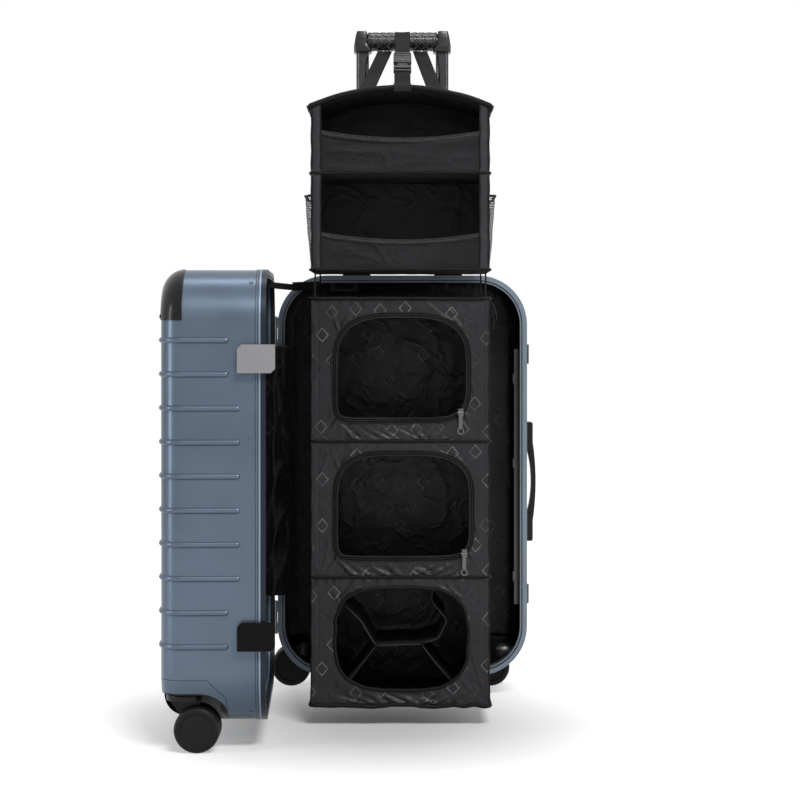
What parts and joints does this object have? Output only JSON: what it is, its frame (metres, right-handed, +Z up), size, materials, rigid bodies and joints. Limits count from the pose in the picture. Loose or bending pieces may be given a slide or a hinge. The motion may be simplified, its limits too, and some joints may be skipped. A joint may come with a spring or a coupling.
{
  "type": "wardrobe trunk",
  "caption": "Upright hard-shell wardrobe trunk on casters, standing open, with a fabric shelf closet hung from its extended handle.",
  "frame": {"origin": "on the floor, under the middle of the rear half's rim plane", "axes": "+Z up, -Y is the way the rear half opens, +X towards the latch side, away from the hinges"},
  "size_m": [0.5338, 0.529, 1.0175],
  "materials": {
    "shell_blue": "satin, slate blue",
    "frame_blue": "satin anodised, slate blue",
    "fittings_black": "satin, black",
    "metal_dark": "satin anodised, black",
    "latch_gunmetal": "brushed, gunmetal",
    "latch_black": "satin, black",
    "hinge_steel": "satin",
    "gasket_rubber": "matte, black",
    "wheel_black": "satin, black",
    "lining_fabric": "matte woven, charcoal with a faint lozenge print",
    "closet_fabric": "matte woven nylon, black with a faint lozenge print",
    "closet_board": "fabric-covered board, black",
    "mesh_fabric": "open mesh, black",
    "webbing": "ribbed webbing, black",
    "grip_rubber": "matte, raised lozenges"
  },
  "bodies": {
    "case": {"case_shell": "shell_blue", "case_wheel_panels": "shell_blue", "case_corner_fittings": "fittings_black", "case_rim_frame": "frame_blue", "rim_gasket": "gasket_rubber", "case_lining": "lining_fabric", "handle_guides": "metal_dark", "handle_bezel": "fittings_black", "carry_handle_mounts": "fittings_black", "catch_plates": "metal_dark", "backing_bar": "metal_dark", "case_hinge_leaves": "hinge_steel", "closet_brackets": "metal_dark", "hinge_cover": "lining_fabric", "lid_stay_strap": "webbing"},
    "side_handle": {"side_handle": "fittings_black"},
    "top_handle": {"top_handle": "fittings_black"},
    "lid": {"lid_shell": "shell_blue", "lid_wheel_panels": "shell_blue", "lid_corner_fittings": "fittings_black", "lid_rim_frame": "frame_blue", "lid_lining": "lining_fabric", "lid_hinge_leaves": "hinge_steel", "latch_bases": "fittings_black"},
    "latch_upper": {"latch_lever_upper": "latch_gunmetal"},
    "latch_lower": {"latch_lever_lower": "latch_black"},
    "handle_stage": {"handle_stage_tubes": "metal_dark"},
    "handle": {"handle_upper_tubes": "metal_dark", "handle_grip": "grip_rubber", "handle_caps": "fittings_black", "closet_straps": "webbing", "strap_buckle": "fittings_black", "closet_roof": "closet_board", "upper_walls_1": "closet_fabric"},
    "handle_button": {"handle_button": "fittings_black"},
    "upper_shelf": {"upper_shelf": "closet_board", "upper_pocket_1": "mesh_fabric", "upper_walls_2": "closet_fabric"},
    "closet_base": {"closet_base": "closet_board", "upper_pockets_2": "mesh_fabric", "link_cords": "webbing"},
    "tier_top": {"tier_top": "closet_board"},
    "tier_1": {"tier_shelf_1": "closet_board", "tier_walls_1": "closet_fabric"},
    "tier_2": {"tier_shelf_2": "closet_board", "tier_walls_2": "closet_fabric"},
    "tier_3": {"tier_floor": "closet_board", "tier_walls_3": "closet_fabric"},
    "zip_1": {"zip_1_slider": "metal_dark"},
    "zip_2": {"zip_2_slider": "metal_dark"},
    "zip_1_pull": {"zip_1_pull": "metal_dark"},
    "zip_2_pull": {"zip_2_pull": "metal_dark"},
    "caster_rear_left": {"caster_fork_rear_left": "fittings_black"},
    "wheels_rear_left": {"caster_wheels_rear_left": "wheel_black"},
    "caster_rear_right": {"caster_fork_rear_right": "fittings_black"},
    "wheels_rear_right": {"caster_wheels_rear_right": "wheel_black"},
    "caster_front_far": {"caster_fork_front_far": "fittings_black"},
    "wheels_front_far": {"caster_wheels_front_far": "wheel_black"},
    "caster_front_near": {"caster_fork_front_near": "fittings_black"},
    "wheels_front_near": {"caster_wheels_front_near": "wheel_black"}
  },
  "joints": [
    {"name": "lid_hinge", "type": "hinge", "parent": "case", "child": "lid", "pos_m": [-0.1906, 0, 0.333], "axis": [0, 0, -1], "range_deg": [-88, 0], "deforming": ["hinge_cover", "lid_stay_strap", "link_cords", "tier_walls_1", "tier_walls_2", "tier_walls_3"]},
    {"name": "latch_upper_lever", "type": "hinge", "parent": "lid", "child": "latch_upper", "pos_m": [-0.21101, -0.38115, 0.515], "axis": [0, 0, -1], "range_deg": [0, 70]},
    {"name": "latch_lower_lever", "type": "hinge", "parent": "lid", "child": "latch_lower", "pos_m": [-0.21101, -0.38115, 0.155], "axis": [0, 0, -1], "range_deg": [0, 70]},
    {"name": "swivel_rear_left", "type": "hinge", "parent": "case", "child": "caster_rear_left", "pos_m": [-0.154, 0.108, 0.07], "axis": [0, 0, 1], "continuous": true},
    {"name": "roll_rear_left", "type": "hinge", "parent": "caster_rear_left", "child": "wheels_rear_left", "pos_m": [-0.172, 0.108, 0.03], "axis": [0, 1, 0], "continuous": true},
    {"name": "swivel_rear_right", "type": "hinge", "parent": "case", "child": "caster_rear_right", "pos_m": [0.154, 0.108, 0.07], "axis": [0, 0, 1], "continuous": true},
    {"name": "roll_rear_right", "type": "hinge", "parent": "caster_rear_right", "child": "wheels_rear_right", "pos_m": [0.136, 0.108, 0.03], "axis": [0, 1, 0], "continuous": true},
    {"name": "swivel_front_far", "type": "hinge", "parent": "lid", "child": "caster_front_far", "pos_m": [-0.29726, -0.04035, 0.07], "axis": [0, 0, 1], "continuous": true},
    {"name": "roll_front_far", "type": "hinge", "parent": "caster_front_far", "child": "wheels_front_far", "pos_m": [-0.27926, -0.04035, 0.03], "axis": [0, 1, 0], "continuous": true},
    {"name": "swivel_front_near", "type": "hinge", "parent": "lid", "child": "caster_front_near", "pos_m": [-0.28651, -0.34816, 0.07], "axis": [0, 0, 1], "continuous": true},
    {"name": "roll_front_near", "type": "hinge", "parent": "caster_front_near", "child": "wheels_front_near", "pos_m": [-0.26851, -0.34816, 0.03], "axis": [0, 1, 0], "continuous": true},
    {"name": "handle_stage_slide", "type": "slide", "parent": "case", "child": "handle_stage", "axis": [0, 0, -1], "range_m": [0, 0.1], "deforming": ["upper_walls_1", "upper_walls_2", "upper_pocket_1", "upper_pockets_2"]},
    {"name": "handle_slide", "type": "slide", "parent": "handle_stage", "child": "handle", "axis": [0, 0, -1], "range_m": [0, 0.1]},
    {"name": "upper_shelf_slide", "type": "slide", "parent": "handle", "child": "upper_shelf", "axis": [0, 0, 1], "range_m": [0, 0.08]},
    {"name": "closet_base_slide", "type": "slide", "parent": "upper_shelf", "child": "closet_base", "axis": [0, 0, 1], "range_m": [0, 0.12]},
    {"name": "tier_top_slide", "type": "slide", "parent": "closet_base", "child": "tier_top", "axis": [0, 1, 0], "range_m": [0, 0.085]},
    {"name": "tier_1_slide", "type": "slide", "parent": "tier_top", "child": "tier_1", "axis": [0, 0, 1], "range_m": [0, 0.054]},
    {"name": "tier_2_slide", "type": "slide", "parent": "tier_1", "child": "tier_2", "axis": [0, 0, 1], "range_m": [0, 0.054]},
    {"name": "tier_3_slide", "type": "slide", "parent": "tier_2", "child": "tier_3", "axis": [0, 0, 1], "range_m": [0, 0.054]},
    {"name": "handle_button_press", "type": "slide", "parent": "handle", "child": "handle_button", "axis": [0, 0, -1], "range_m": [0, 0.0025], "stiffness_N_per_m": 400},
    {"name": "side_handle_slide", "type": "slide", "parent": "case", "child": "side_handle", "axis": [1, 0, 0], "range_m": [0, 0.004]},
    {"name": "top_handle_slide", "type": "slide", "parent": "case", "child": "top_handle", "axis": [0, 0, 1], "range_m": [0, 0.004]},
    {"name": "zip_1_run", "type": "slide", "parent": "tier_1", "child": "zip_1", "axis": [0, 0, 1], "range_m": [0, 0.09]},
    {"name": "zip_1_pull_swing", "type": "hinge", "parent": "zip_1", "child": "zip_1_pull", "pos_m": [0.081, -0.2068, 0.437], "axis": [-1, 0, 0], "range_deg": [0, 150]},
    {"name": "zip_2_run", "type": "slide", "parent": "tier_2", "child": "zip_2", "axis": [0, 0, 1], "range_m": [0, 0.09]},
    {"name": "zip_2_pull_swing", "type": "hinge", "parent": "zip_2", "child": "zip_2_pull", "pos_m": [0.086, -0.2068, 0.241], "axis": [-1, 0, 0], "range_deg": [0, 150]}
  ],
  "couplings": [
    {"joint": "tier_top_slide", "follows": "lid_hinge", "m_per_rad": -0.055337},
    {"joint": "tier_1_slide", "follows": "lid_hinge", "m_per_rad": -0.035155},
    {"joint": "tier_2_slide", "follows": "lid_hinge", "m_per_rad": -0.035155},
    {"joint": "tier_3_slide", "follows": "lid_hinge", "m_per_rad": -0.035155},
    {"joint": "handle_slide", "follows": "handle_stage_slide", "ratio": 1},
    {"joint": "upper_shelf_slide", "follows": "handle_stage_slide", "ratio": 0.8},
    {"joint": "closet_base_slide", "follows": "handle_stage_slide", "ratio": 1.2}
  ]
}
